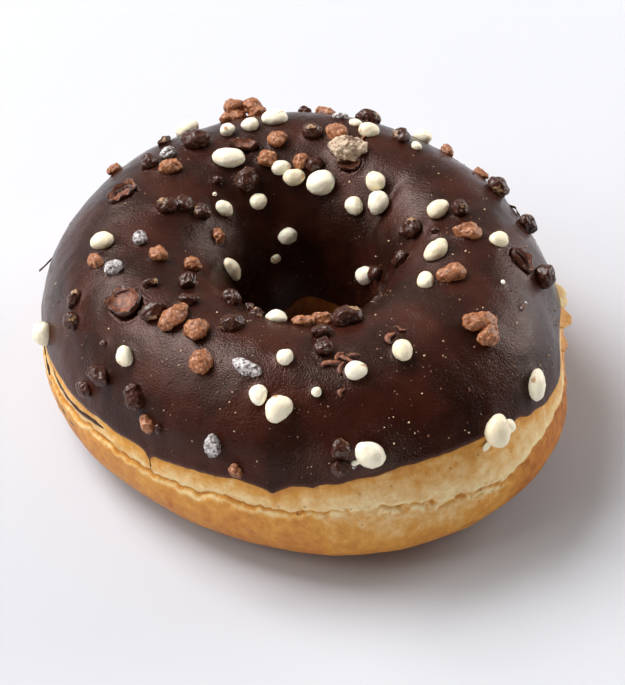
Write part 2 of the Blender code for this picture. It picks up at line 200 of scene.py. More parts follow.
# Flakes that stand off the skin: ring angle, tube angle, length, width, turn and stand-off
SHARDS = [(159.5, 31, 4.6, 1.0, -38, 0.9)]
SHARD_THICK = 0.25
CRUST_FLAKES = [(358.5, 18, 1.5, 6.2, -86, 1.3), (354, 13.5, 1.6, 5.8, -92, 1.1),
                (348.5, 9, 1.4, 4.6, -95, 0.7)]
CRUST_FLAKES_BAKE = (0.12, 0.42, 0.5)         # how browned each of the crust's flakes is
CRUST_THICK = 0.4
FLAKE_ROOT = 0.7        # how deep a flake's root is sunk
# Section of a broken crisp's wall, outside to inside: reach, height, and 1 where the edge is jagged
SHELL_PROFILE = [(0.86, -0.9, 0), (1.0, -0.35, 0), (1.03, 0.1, 0), (1.0, 0.42, 1), (0.95, 0.55, 1),
                 (0.88, 0.46, 1), (0.8, 0.1, 0), (0.62, -0.28, 0), (0.3, -0.42, 0)]
SHELL_SIDES = 40
SHELL_LINING = 5        # first row of faces that is lining
BROKEN_WORN = 0.55      # how worn the coating of broken crisps and shards is
# Crumbs: name, pale and deep colour, share of the density, seed
CRUMB_KINDS = [("pale_crumbs", "#DCC7A4", "#A9805A", 0.8, 21),
               ("brown_crumbs", "#8A5A40", "#4A2D22", 1.1, 22)]
RUN_HEIGHT = 0.22       # how high a run of glaze stands, and how deep its sides are sunk
RUN_SINK = 0.3
# Runs of thin glaze on the bare dough: points of ring angle and tube angle, and the width
RUNS = [
    ([(188, 12), (192, 10), (197, 9), (203, 9.5), (208, 11.5), (213, 12.5)], 0.9),
    ([(181, 6), (186, 2), (191, -1), (196, -2.5), (201, -2)], 1.1),
    ([(176, 13), (179, 10), (182, 8)], 1.3),
    ([(228, 14), (228.2, 11.5), (228.4, 9.2), (228.5, 7.6)], 0.42),
    ([(265, 9), (266.5, 6.8), (268.6, 5.4), (270.5, 4.3)], 0.22),
]


def linear(code):
    """The linear red, green and blue of an sRGB hex colour."""
    values = [int(code[place:place + 2], 16) / 255 for place in (1, 3, 5)]
    return tuple(v / 12.92 if v <= 0.04045 else ((v + 0.055) / 1.055) ** 2.4 for v in values)


def colour(name, code, description):
    return FloatVectorProperty(name=name, description=description, subtype="COLOR",
                               size=3, min=0, max=1, default=linear(code))


def length(name, millimetres, description):
    return FloatProperty(name=name, description=description, unit="LENGTH",
                         default=millimetres * MM, min=0, precision=5)


def angle(name, degrees, description):
    return FloatProperty(name=name, description=description, subtype="ANGLE",
                         default=math.radians(degrees))


def amount(name, value, description):
    return FloatProperty(name=name, description=description, default=value, min=0)


class DoughSettings(bpy.types.PropertyGroup):
    crease_depth: length("Crease depth", 0.38, "Depth of the ragged crease round the side")
    ledge: length("Ledge", 0.24, "How far the lobe under the crease stands proud of the band")
    wrinkle: length("Wrinkle height", 0.10, "Height of the fine wrinkles in the baked skin")
    cream: colour("Cream", "#F1DAA6", "Dough in the band that the oil never browned")
    golden: colour("Golden", "#D7993E", "Lightly browned dough")
    brown: colour("Brown", "#B66A1C", "Well browned dough near the foot")
    # The darkest dough is the fried underside, and is also mixed into the pinholes as painted shade
    toast_and_shade: colour("Toast", "#7E4A1C", "Darkest dough, in the creases and underneath")


class GlazeSettings(bpy.types.PropertyGroup):
    bead: length("Edge bead", 0.12, "How much thicker the glaze is where it stopped running")
    wave: length("Wave height", 0.14, "Height of the soft ripples left as the glaze set")
    collar: length("Collar height", 0.32, "How far the glaze climbs a crisp sunk in it")
    pit: length("Pit size", 0.36, "Size of the fine pits in the set surface")
    dark: colour("Dark", "#230F09", "Dark chocolate")
    warm: colour("Warm", "#3C1B12", "Dark chocolate where it is a little thinner")
    thin: colour("Thin edge", "#6A3A1E", "Glaze thin enough at its edge for the dough to warm it")


class CrispSettings(bpy.types.PropertyGroup):
    divisions: IntProperty(name="Divisions", description="Points along each side of a crisp's mesh",
                           default=17, min=4, max=40)
    white: colour("White", "#FFF8E2", "White coating")
    cream: colour("Cream", "#F4E8C8", "The yellowest of the white coatings")
    caramel: colour("Caramel", "#B98752", "Cereal that shows where the white coating is chipped")
    milk: colour("Milk", "#A0643F", "Milk chocolate coating")
    # Painted shade in the grain's hollows; also the real smear of chocolate on the cereal
    milk_dark: colour("Milk hollows", "#573124", "Milk chocolate in the hollows of its grain")
    # Pale grains: partly pale flecks, partly a painted highlight on the raised grains
    milk_pale: colour("Milk grains", "#DDB08C", "Rubbed grains of the milk chocolate coating")
    dark: colour("Dark", "#43251B", "Dark chocolate coating")
    dust: colour("Dust", "#C9A47C", "Cereal dust caught on the dark coating")
    bloom: colour("Bloom", "#DCDCDE", "Fat bloom on a chocolate coating")
    # The cereal's cream also stands as a painted highlight on the raised walls of its cells
    cereal: colour("Cereal", "#CDB79F", "Puffed cereal inside a broken crisp")


class CrumbSettings(bpy.types.PropertyGroup):
    size: length("Crumb size", 0.2, "Middle size of a crumb")
    density: amount("Crumbs per square millimetre", 0.15,
                    "How many crumbs lie on the glaze where they are thickest")


class StageSettings(bpy.types.PropertyGroup):
    height: angle("Camera height angle", 43.54, "Camera's angle above the table")
    roll: angle("Camera roll", -4.71, "Camera's turn about its own axis")
    distance: length("Camera distance", 550, "Distance from the camera to the doughnut")
    lens: amount("Lens", 161.9, "Focal length in millimetres")
    table: colour("Table", "#C9CCD3", "Plain pale table")
    window: amount("Window power", 21.2, "Power of the large soft key light")
    side: amount("Side power", 9.2, "Power of the weaker light on the left")
    card: amount("Card power", 3.2, "Power of the white card on the right")
    low: amount("Low card power", 1.1, "Power of the low card at the front")
    fill: amount("Fill", 0.5, "Strength of the light from all round")


def cos_of(angle):
    return np.cos(np.radians(angle))


def sin_of(angle):
    return np.sin(np.radians(angle))


def unit(vectors):
    return vectors / np.linalg.norm(vectors, axis=-1, keepdims=True)


def signed_power(value, power):
    return np.sign(value) * np.abs(value) ** power


def ease(value, start, end):
    """0 at the start, 1 at the end, in proportion between them and level past them."""
    return np.clip((value - start) / (end - start), 0, 1)


def bell(distance, width):
    return np.exp(-(distance / width) ** 2)


def turn_from(ring, place):
    """The angle from a place round the ring, from -180 to 180."""
    return (np.asarray(ring, float) - place + 180) % 360 - 180


def skin(ring, tube):
    """Points on the ring's nominal skin."""
    ring, tube = np.broadcast_arrays(np.asarray(ring, float), np.asarray(tube, float))
    stretch = (1 + OVAL * cos_of(2 * (ring - OVAL_AT))
               + THREE_LOBE * cos_of(3 * (ring - THREE_LOBE_AT)))
    outer = OUTER_RADIUS * stretch - DENT * bell(turn_from(ring, DENT_AT), DENT_WIDTH)
    inner = HOLE_RADIUS + HOLE_SHIFT[0] * cos_of(ring) + HOLE_SHIFT[1] * sin_of(ring)
    power = np.where(sin_of(tube) > 0, 2 / UPPER_POWER, 2 / LOWER_POWER)
    rise = signed_power(sin_of(tube), power)
    radius = (outer + inner) / 2 + signed_power(cos_of(tube), power) * (outer - inner) / 2
    half = np.where(rise > 0, HEIGHT - WAIST_HEIGHT, LOWER_HEIGHT)
    height = np.maximum(0, WAIST_HEIGHT + rise * half)
    return np.stack((RING_CENTRE[0] + radius * cos_of(ring),
                     RING_CENTRE[1] + radius * sin_of(ring), height), axis=-1)


def frame_at(ring, tube):
    """The skin's points with their directions along the ring, across it and outward."""
    along = unit(skin(ring + 1, tube) - skin(ring - 1, tube))
    across = unit(skin(ring, tube + 2) - skin(ring, tube - 2))
    outward = unit(np.cross(along, across))
    return skin(ring, tube), along, np.cross(outward, along), outward


def mix_round(table, angle):
    """Read a closed table of (angle, value) pairs at angles, easing between its rows."""
    angle = np.asarray(angle, float) % 360
    rows = [(table[-1][0] - 360, table[-1][1])] + table + [(table[0][0] + 360, table[0][1])]
    result = np.zeros_like(angle)
    for (low, low_value), (high, high_value) in zip(rows, rows[1:]):
        share = 0.5 - 0.5 * np.cos(np.pi * (angle - low) / (high - low))
        result = np.where((angle >= low) & (angle <= high),
                          low_value + share * (high_value - low_value), result)
    return result


def rough(points, size, seed=0.0):
    """Smooth random values from -1 to 1 at points, with swells of the given size."""
    flat = np.asarray(points, float).reshape(-1, 3) / size + seed * 17.3
    values = np.array([noise.noise(point) for point in flat.tolist()])
    return values.reshape(np.asarray(points).shape[:-1])


def on_rim(ring):
    """Points on a circle as long as the doughnut's side, to read rough() along an edge."""
    ring = np.asarray(ring, float)
    return np.stack((OUTER_RADIUS * cos_of(ring), OUTER_RADIUS * sin_of(ring),
                     np.zeros_like(ring)), axis=-1)


def outer_edge(ring):
    """Tube angle of the glaze's edge on the side, with its ripples and drips."""
    edge = mix_round(OUTER_EDGE, ring)
    for place, depth, half_width in DRIPS:
        edge = edge - depth * np.exp(-(np.abs(turn_from(ring, place)) / half_width) ** 1.3)
    return edge + 0.9 * rough(on_rim(ring), 5.0, 1) + 0.35 * rough(on_rim(ring), 1.4, 2)


def hole_edge(ring):
    return (HOLE_EDGE + HOLE_EDGE_WAVE * sin_of(3 * ring + 40)
            + 0.4 * HOLE_EDGE_WAVE * sin_of(7 * ring))


def crease_line(ring):
    """Tube angle of the crease: read where it shows, and wandering elsewhere."""
    ring = np.asarray(ring, float) % 360
    wander = CREASE + CREASE_WANDER * sin_of(3 * ring + 65)
    seen = np.interp(ring, [r for r, _ in CREASE_LINE], [t for _, t in CREASE_LINE])
    ragged = (1.3 * rough(on_rim(ring), 4.2, 3) + 1.1 * rough(on_rim(ring), 1.6, 4)
              + 0.6 * rough(on_rim(ring), 0.7, 15))
    return wander + ease(ring, 178, 186) * ease(ring, 326, 316) * (seen - wander) + ragged


def glaze_relief(ring, tube):
    """The soft swells and troughs that the icing solid has too."""
    fade = sin_of(np.clip(tube, 0, 180))
    return fade * (0.16 * sin_of(4 * ring + 2 * tube) + 0.12 * sin_of(7 * ring - 3 * tube + 50)
                   + 0.10 * cos_of(11 * ring + tube))


def seat(place, height):
    """Centre of a crisp and its directions along, across and outward, turned with it."""
    ring, tube, _, _, turn = place[:5]
    point, along, across, outward = frame_at(ring, tube)
    stands = GLAZE_TOP + CENTRE_STANDS * height
    facing = float(outward @ VIEW)
    centre = point + (VIEW * (stands / facing) if facing > STEEPEST else outward * stands)
    spin = math.radians(turn)
    first = along * math.cos(spin) + across * math.sin(spin)
    second = across * math.cos(spin) - along * math.sin(spin)
    return centre + outward * sum(place[5:]), first, second, outward


def hidden_places():
    """The crisps that the solid has on the faces the listed places leave bare."""
    draws = random.Random(SEED)
    listed = WHITE[:33] + MILK[:21] + DARK[:33] + BLOOMED[:3] + PUFFED + BROKEN
    taken = [skin(*place[:2]) for place in listed]
    places = []
    for _ in range(HIDDEN_TRIES):
        if len(places) == HIDDEN_COUNT:
            break
        ring = draws.uniform(0, 360)
        edge = float(mix_round(OUTER_EDGE, ring))
        tube = draws.uniform(edge + 7, float(hole_edge(ring)) - 12)
        spot, _, _, outward = frame_at(ring, tube)
        apart = all(np.linalg.norm(spot - other) > HIDDEN_SPACING for other in taken)
        if apart and outward @ VIEW < HIDDEN_SLOPE:
            taken.append(spot)
            breadth = draws.uniform(2.4, 3.8)
            places.append((ring, tube, breadth * draws.uniform(1.0, 1.45), breadth,
                           draws.uniform(0, 180)))
    return places


def kinds():
    """Every crisp's place by kind, with the unseen ones shared out between three kinds."""
    places = {"white": WHITE, "milk": MILK + PERCHED, "dark": DARK, "bloomed": BLOOMED,
              "puffed": PUFFED, "broken": BROKEN}
    hidden = hidden_places()
    for number, kind in enumerate(HIDDEN_KINDS):
        places[kind] = places[kind] + hidden[number::len(HIDDEN_KINDS)]
    return places


def store(mesh, key, values):
    """Keep a number or a vector on each point of a mesh."""
    values = np.asarray(values, float)
    kind, field = ("FLOAT_VECTOR", "vector") if values.ndim > 1 else ("FLOAT", "value")
    mesh.attributes.new(key, kind, "POINT").data.foreach_set(field, values.ravel())


def finished(body, mesh):
    """Put a body of faces into a mesh, with its faces outward and smooth."""
    bmesh.ops.recalc_face_normals(body, faces=body.faces)
    body.to_mesh(mesh)
    body.free()
    mesh.shade_smooth()
    return mesh


def grid_mesh(name, points, key, values):
    """A closed mesh from points as columns by rows, both wrapping round, with a value on each."""
    index = np.arange(values.size).reshape(values.shape)
    after = np.roll(index, -1, 0)
    quads = np.stack((index, after, np.roll(after, -1, 1), np.roll(index, -1, 1)), axis=-1)
    mesh = bpy.data.meshes.new(name)
    mesh.from_pydata((points.reshape(-1, 3) * MM).tolist(), [], quads.reshape(-1, 4).tolist())
    store(mesh, key, values.ravel())
    body = bmesh.new()
    body.from_mesh(mesh)
    return finished(body, mesh)


def strip_mesh(name, strips):
    """A mesh of closed strips, each given as loops of points from one end to the other."""
    body = bmesh.new()
    for strip in strips:
        rows = [[body.verts.new(point * MM) for point in loop] for loop in strip]
        for here, there in zip(rows, rows[1:]):
            for side in range(len(here)):
                after = (side + 1) % len(here)
                body.faces.new((here[side], there[side], there[after], here[after]))
        body.faces.new(rows[0])
        body.faces.new(rows[-1][::-1])
    return finished(body, bpy.data.meshes.new(name))


def add_piece(name, mesh, slot, *materials, replaced=None):
    """Link a finished mesh as a piece that rides on the doughnut."""
    item = bpy.data.objects.new(name, mesh)
    bpy.context.scene.collection.objects.link(item)
    for material in materials:
        mesh.materials.append(material)
    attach(item, "root")
    if replaced:
        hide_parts(replaced)


def fill(item, values):
    """Set a node's inputs, or link them to sockets or to the results of other nodes."""
    for key, value in values.items() if isinstance(values, dict) else enumerate(values):
        if isinstance(value, bpy.types.Node):
            value = next(socket for socket in value.outputs if socket.enabled)
        if isinstance(value, bpy.types.NodeSocket):
            item.id_data.links.new(value, item.inputs[key])
        else:
            item.inputs[key].default_value = value


def add_node(tree, kind, inputs=(), stops=(), **settings):
    """Add a node with its settings, its inputs by name or in order, and a ramp's stops."""
    item = tree.nodes.new(kind)
    for key, value in settings.items():
        setattr(item, key, value)
    fill(item, inputs)
    for number, (place, shade) in enumerate(stops):
        elements = item.color_ramp.elements
        element = elements[number] if number < 2 else elements.new(place)
        element.position = place
        element.color = (*shade, 1)
    return item


def per(millimetres):
    """A texture's scale for features of a real size."""
    return 1 / (millimetres * MM)


def new_material(name, **values):
    """An empty material with its shader, whose uniform values are set on its own sockets."""
    material = bpy.data.materials.new(name)
    material.use_nodes = True
    node = partial(add_node, material.node_tree)
    shader = material.node_tree.nodes["Principled BSDF"]
    fill(shader, {key.replace("_", " "): value for key, value in values.items()})
    return material, node, shader, node("ShaderNodeTexCoord").outputs["Object"]


def glaze_material(settings):
    # Dark chocolate couverture, poured warm and left to set: a satin skin, deep brown, with fine
    # pits from its air bubbles that break the sheen up, and a warmer line where it ran out thin.
    material, node, shader, place = new_material(
        "poured dark chocolate", IOR=1.45, Specular_IOR_Level=0.33,
        Specular_Tint=(*linear("#FFDACF"), 1))
    patches = node(NOISE, {"Vector": place, "Scale": per(9), "Detail": 3})
    body = node(RAMP, (patches,), [(0.38, settings.dark), (0.66, settings.warm)])
    edge = node(ATTRIBUTE, attribute_name="thin").outputs["Fac"]
    tint = node(MIX, {"Factor": edge, "A": body, "B": (*settings.thin, 1)}, data_type="RGBA")
    satin = node(NOISE, {"Vector": place, "Scale": per(4), "Detail": 4})
    gloss = node(RANGE, (satin, 0.3, 0.7, 0.2, 0.32))
    pits = node(NOISE, {"Vector": place, "Scale": per(settings.pit / MM), "Detail": 2,
                        "Roughness": 0.6})
    swell = node(NOISE, {"Vector": place, "Scale": per(2.2), "Detail": 1})
    pores = node(RANGE, (node(VORONOI, {"Vector": place, "Scale": per(3.1)}), 0.05, 0.13))
    fine = node(BUMP, {"Height": pits, "Strength": 0.9, "Distance": 0.12 * MM})
    soft = node(BUMP, {"Height": swell, "Strength": 0.4, "Distance": 0.1 * MM, "Normal": fine})
    last = node(BUMP, {"Height": pores, "Strength": 0.35, "Distance": 0.12 * MM, "Normal": soft})
    fill(shader, {"Base Color": tint, "Roughness": gloss, "Normal": last})
    return material


def dough_material(settings):
    # Fried yeast dough: the fat browned the lobes and the foot, and the band that floated above
    # it stayed cream. The skin is thin, matt and leathery, with fine wrinkles and pinholes, and
    # the pinholes are darkened as painted shade.
    material, node, shader, place = new_material(
        "fried yeast dough", IOR=1.45, Subsurface_Weight=0.12, Subsurface_Scale=0.8 * MM,
        Subsurface_Radius=(1.0, 0.55, 0.25))
    # The browning attribute also carries the painted shade of the crease and the torn pits
    browning_and_shade = node(ATTRIBUTE, attribute_name="browning_and_shade").outputs["Fac"]
    mottle = node(NOISE, {"Vector": place, "Scale": per(1.9), "Detail": 6, "Roughness": 0.66})
    level = node(MATH, (browning_and_shade, node(RANGE, (mottle, 0.25, 0.75, -0.2, 0.2))), operation="ADD")
    shade = node(RAMP, (level,), [(0.0, settings.cream), (0.42, settings.golden),
                                  (0.76, settings.brown), (1.0, settings.toast_and_shade)])
    # Pinholes: small dots that the bump sinks, mixed towards the darkest dough as painted shade
    shaded_pinholes = node(RANGE, (node(VORONOI, {"Vector": place, "Scale": per(2.6)}), 0.06, 0.11, 0.5, 0))
    tint = node(MIX, {"Factor": shaded_pinholes, "A": shade, "B": (*settings.toast_and_shade, 1)}, data_type="RGBA")
    gloss = node(RANGE, (level, 0, 1, 0.62, 0.42))
    wrinkle = node(NOISE, {"Vector": place, "Scale": per(0.9), "Detail": 4, "Roughness": 0.65,
                           "Distortion": 0.6})
    leather = node(BUMP, {"Height": wrinkle, "Strength": 0.9, "Distance": 0.26 * MM})
    pinholes = node(BUMP, {"Height": shaded_pinholes, "Strength": 0.5, "Distance": 0.15 * MM,
                           "Normal": leather}, invert=True)
    fill(shader, {"Base Color": tint, "Roughness": gloss, "Normal": pinholes})
    return material


def white_material(settings):
    # White chocolate tumbled over puffed cereal: a smooth opaque shell, faintly translucent and
    # satin, with pinholes, and a caramel patch where two crisps rubbed together.
    material, node, shader, place = new_material(
        "tumbled white coating", IOR=1.46, Roughness=0.36, Subsurface_Weight=0.12,
        Subsurface_Scale=0.6 * MM)
    worn = node(ATTRIBUTE, attribute_name="worn").outputs["Fac"]
    mottle = node(NOISE, {"Vector": place, "Scale": per(1.3), "Detail": 3})
    share = node(RANGE, (node(MATH, (worn, mottle), operation="ADD"), 1.44, 1.56, 0, 0.9))
    body = node(RAMP, (node(ATTRIBUTE, attribute_name="tint").outputs["Fac"],),
                [(0.0, settings.white), (1.0, settings.cream)])
    tint = node(MIX, {"Factor": share, "A": body, "B": (*settings.caramel, 1)}, data_type="RGBA")
    grain = node(NOISE, {"Vector": place, "Scale": per(0.35), "Detail": 2})
    bump = node(BUMP, {"Height": grain, "Strength": 0.25, "Distance": 0.06 * MM})
    fill(shader, {"Base Color": tint, "Normal": bump})
    return material


def dark_material(settings):
    # Dark chocolate tumbled over puffed cereal: glossier than the glaze round it, lumpy, with
    # cereal dust caught in places.
    material, node, shader, place = new_material(
        "tumbled dark chocolate", IOR=1.5, Roughness=0.25, Specular_IOR_Level=0.38)
    worn = node(ATTRIBUTE, attribute_name="worn").outputs["Fac"]
    dust = node(NOISE, {"Vector": place, "Scale": per(0.7), "Detail": 3, "Roughness": 0.6})
    share = node(RANGE, (node(MATH, (worn, dust), operation="ADD"), 1.38, 1.5, 0, 0.75))
    tint = node(MIX, {"Factor": share, "A": (*settings.dark, 1), "B": (*settings.dust, 1)},
                data_type="RGBA")
    bump = node(BUMP, {"Height": dust, "Strength": 0.6, "Distance": 0.22 * MM})
    fill(shader, {"Base Color": tint, "Normal": bump})
    return material


def cereal_material(settings):
    # Puffed cereal, broken open: a dry matt foam of thin walls, cream on the raised walls and
    # brown in the hollows of its cells, a painted highlight and painted shade that follow the relief.
    material, node, shader, place = new_material("puffed cereal", IOR=1.4, Roughness=0.8)
    cells = node(VORONOI, {"Vector": place, "Scale": per(0.7)})
    # Brown in the cells' hollows and cream on their raised walls: painted shade and painted highlight
    body = node(RAMP, (cells,), [(0.06, linear("#8A6A52")), (0.45, settings.cereal)])
    smear = node(NOISE, {"Vector": place, "Scale": per(2.6), "Detail": 3})
    tint = node(MIX, {"Factor": node(RANGE, (smear, 0.56, 0.64, 0, 0.85)), "A": body,
                      "B": (*settings.milk_dark, 1)}, data_type="RGBA")
    bump = node(BUMP, {"Height": cells, "Strength": 0.9, "Distance": 0.3 * MM})
    fill(shader, {"Base Color": tint, "Normal": bump})
    return material


def grained_material(name, grain_size, stops, relief=None, stretch=None, detail=3, crumble=0.5,
                     **values):
    """A material whose colour and relief both follow one grain of a real size."""
    material, node, shader, place = new_material(name, **values)
    if stretch:
        place = node("ShaderNodeMapping", {"Vector": place, "Scale": stretch})
    grain = node(NOISE, {"Vector": place, "Scale": per(grain_size), "Detail": detail,
                         "Roughness": crumble})
    fill(shader, {"Base Color": node(RAMP, (grain,), stops)})
    if relief:
        strength, depth = relief
        bump = node(BUMP, {"Height": grain, "Strength": strength, "Distance": depth * MM})
        fill(shader, {"Normal": bump})
    return material


def milk_material(settings):
    # Milk chocolate tumbled over puffed cereal: caramel brown and grainy. Its raised grains are
    # pale, partly pale flecks and partly a painted highlight, and the hollows between them are darker
    # as painted shade.
    return grained_material(
        "tumbled milk chocolate", 0.55,
        [(0.36, settings.milk_dark), (0.47, settings.milk), (0.55, settings.milk),
         (0.67, settings.milk_pale)], (0.7, 0.22), detail=4, crumble=0.7, IOR=1.47, Roughness=0.36)


def bloomed_material(settings):
    # Chocolate coating that has bloomed: a silvery film of fat crystals over the dark coating,
    # rubbed through in flecks.
    return grained_material(
        "bloomed chocolate coating", 0.5,
        [(0.34, settings.dark), (0.44, linear("#857B78")), (0.62, settings.bloom)], (0.6, 0.2),
        crumble=0.6, IOR=1.5, Roughness=0.3)


def inside_material(settings):
    # The inside of a coating that broke open, and its thin curls: matt milk chocolate, drawn into
    # streaks where the cereal came away, dark between them.
    return grained_material(
        "inside of a broken coating", 0.7,
        [(0.36, linear("#4A261B")), (0.52, linear("#7C4A36")), (0.68, settings.milk)],
        (0.8, 0.25), stretch=(1, 0.4, 1), detail=4, crumble=0.65, IOR=1.46, Roughness=0.5)


def crumb_material(name, pale, deep):
    # Crumbs of coating and cereal: matt and dry, each with its own depth of colour.
    return grained_material(name, 1.1, [(0.35, linear(deep)), (0.6, linear(pale))], detail=2,
                            IOR=1.45, Roughness=0.6)


def new_tree(name, sizes):
    """A Geometry Nodes tree with a geometry input and a named input for each size."""
    tree = bpy.data.node_groups.new(name, "GeometryNodeTree")
    add_socket = tree.interface.new_socket
    add_socket("Geometry", in_out="INPUT", socket_type="NodeSocketGeometry")
    for label, value in sizes.items():
        kind = "NodeSocketInt" if isinstance(value, int) else "NodeSocketFloat"
        add_socket(label, in_out="INPUT", socket_type=kind).default_value = value
    add_socket("Geometry", in_out="OUTPUT", socket_type="NodeSocketGeometry")
    node = partial(add_node, tree)
    return tree, node, node("NodeGroupInput").outputs


def crisp_tree(name, sizes, material):
    """Crisps on points: a round blank shaped by each point's own sizes, then lumps and grain."""
    tree, node, given = new_tree(name, sizes)
    sides = given["Divisions"]
    cube = node("GeometryNodeMeshCube", {"Size": (2, 2, 2), "Vertices X": sides,
                                         "Vertices Y": sides, "Vertices Z": sides})
    spot = node("GeometryNodeInputPosition")
    blank = node("GeometryNodeStoreNamedAttribute",
                 {"Geometry": cube, "Name": "own",
                  "Value": node(VECTOR_MATH, (spot,), operation="NORMALIZE")},
                 data_type="FLOAT_VECTOR")
    points = node("GeometryNodeStoreNamedAttribute",
                  {"Geometry": given["Geometry"], "Name": "centre", "Value": spot},
                  data_type="FLOAT_VECTOR")
    placed = node("GeometryNodeInstanceOnPoints", {"Points": points, "Instance": blank})
    own, centre, size, facing, taper, bend = (
        node("GeometryNodeInputNamedAttribute", {"Name": key}, data_type=kind)
        for key, kind in (("own", "FLOAT_VECTOR"), ("centre", "FLOAT_VECTOR"),
                          ("size", "FLOAT_VECTOR"), ("facing", "FLOAT_VECTOR"),
                          ("taper", "FLOAT"), ("bend", "FLOAT")))
    x, y, z = node("ShaderNodeSeparateXYZ", (own,)).outputs
    narrow = node(MATH, (x, taper, 1.0), operation="MULTIPLY_ADD")
    squared = node(MATH, (x, x), operation="MULTIPLY")
    side = node(MATH, (y, narrow), operation="MULTIPLY")
    bent = node(MATH, (squared, bend, side), operation="MULTIPLY_ADD")
    high = node(MATH, (z, narrow), operation="MULTIPLY")
    scaled = node(VECTOR_MATH, (node("ShaderNodeCombineXYZ", (x, bent, high)), size),
                  operation="MULTIPLY")
    turned = node("FunctionNodeRotateVector",
                  (scaled, node("FunctionNodeEulerToRotation", (facing,))))
    flow = node("GeometryNodeSetPosition",
                {"Geometry": node("GeometryNodeRealizeInstances", (placed,)),
                 "Position": node(VECTOR_MATH, (turned, centre), operation="ADD")})
    for feature in ("Lump", "Grain"):
        inverse = node(MATH, (1.0, given[f"{feature} size"]), operation="DIVIDE")
        texture = node(NOISE, {"Scale": inverse, "Detail": 2.0})
        middle = node(MATH, (texture, 0.5), operation="SUBTRACT")
        height = node(MATH, (middle, given[f"{feature} height"]), operation="MULTIPLY")
        push = node(VECTOR_MATH, {0: node("GeometryNodeInputNormal"), "Scale": height},
                    operation="SCALE")
        flow = node("GeometryNodeSetPosition", {"Geometry": flow, "Offset": push})
    smooth = node("GeometryNodeSetShadeSmooth", {"Geometry": flow})
    painted = node("GeometryNodeSetMaterial", {"Geometry": smooth, "Material": material})
    node("NodeGroupOutput", (painted,))
    return tree


def crumb_tree(name, sizes, material):
    """Crumbs scattered over faces by density, each a small rough stone of its own size and turn."""
    tree, node, given = new_tree(name, sizes)
    share = node("GeometryNodeInputNamedAttribute", {"Name": "share"}, data_type="FLOAT")
    spread = node("GeometryNodeDistributePointsOnFaces",
                  {"Mesh": given["Geometry"], "Seed": given["Seed"],
                   "Density": node(MATH, (share, given["Density"]), operation="MULTIPLY")})
    stone = node("GeometryNodeMeshIcoSphere", {"Radius": 0.5, "Subdivisions": 1})
    jag = node(VECTOR_MATH, (node(NOISE, {"Scale": 2.5}).outputs["Color"], (0.5, 0.5, 0.5)),
               operation="SUBTRACT")
    rocky = node("GeometryNodeSetPosition", {"Geometry": stone, "Offset": jag})
    turn = node("FunctionNodeRandomValue", {"Max": (6.28, 6.28, 6.28), "Seed": 3},
                data_type="FLOAT_VECTOR")
    draw = node("FunctionNodeRandomValue", {2: 0.0, 3: 1.0, "Seed": 5}, data_type="FLOAT")
    skew = node(MATH, (draw, 3.0), operation="POWER")
    scale = node(MATH, (node(RANGE, (skew, 0, 1, 0.55, 2.3)), given["Crumb size"]),
                 operation="MULTIPLY")
    placed = node("GeometryNodeInstanceOnPoints",
                  {"Points": spread, "Instance": rocky, "Rotation": turn, "Scale": scale})
    real = node("GeometryNodeRealizeInstances", (placed,))
    painted = node("GeometryNodeSetMaterial", {"Geometry": real, "Material": material})
    node("NodeGroupOutput", (painted,))
    return tree


def grow(name, seeds, make_tree, sizes, material):
    """Run a tree over a seed mesh, keep the result as a plain piece and return its mesh."""
    seed_item = bpy.data.objects.new(name + "_seeds", seeds)
    bpy.context.scene.collection.objects.link(seed_item)
    modifier = seed_item.modifiers.new("grow", "NODES")
    modifier.node_group = make_tree(name, sizes, material)
    for socket in modifier.node_group.interface.items_tree:
        if socket.in_out == "INPUT" and socket.name in sizes:
            modifier[socket.identifier] = sizes[socket.name]
    graph = bpy.context.evaluated_depsgraph_get()
    mesh = bpy.data.meshes.new_from_object(seed_item.evaluated_get(graph))
    mesh.name = name
    bpy.data.objects.remove(seed_item, do_unlink=True)
    add_piece(name, mesh, "icing")
    return mesh


def crisp_seeds(name, places, draws):
    """A mesh of loose points, one for each crisp, that carry its sizes and turn."""
    centres = []
    columns = {key: [] for key in ("size", "facing", "spot", "taper", "bend", "tint")}
    for place in places:
        long, broad = place[2:4]
        height = FLATNESS * broad
        centre, *directions = seat(place, height)
        centres.append(centre * MM)
        columns["size"].append([side / 2 * MM for side in (long, broad, height)])
        columns["facing"].append(list(Matrix(directions).transposed().to_euler()))
        columns["taper"].append(draws.uniform(-TAPER, TAPER))
        columns["bend"].append(draws.uniform(-BEND, BEND))
        columns["tint"].append(draws.random())
        columns["spot"].append([draws.uniform(low, 1) for low in (-1, -1, -0.9)])
    mesh = bpy.data.meshes.new(name)
    mesh.from_pydata(centres, [], [])
    for key, values in columns.items():
        store(mesh, key, values)
    return mesh


def wear(mesh):
    """Give each point how near it lies to its crisp's own worn spot, for the material."""
    found = {}
    for key in ("own", "spot"):
        values = np.zeros(len(mesh.vertices) * 3, np.float32)
        mesh.attributes[key].data.foreach_get("vector", values)
        found[key] = unit(values.reshape(-1, 3))
    store(mesh, "worn", np.sum(found["own"] * found["spot"], axis=1))


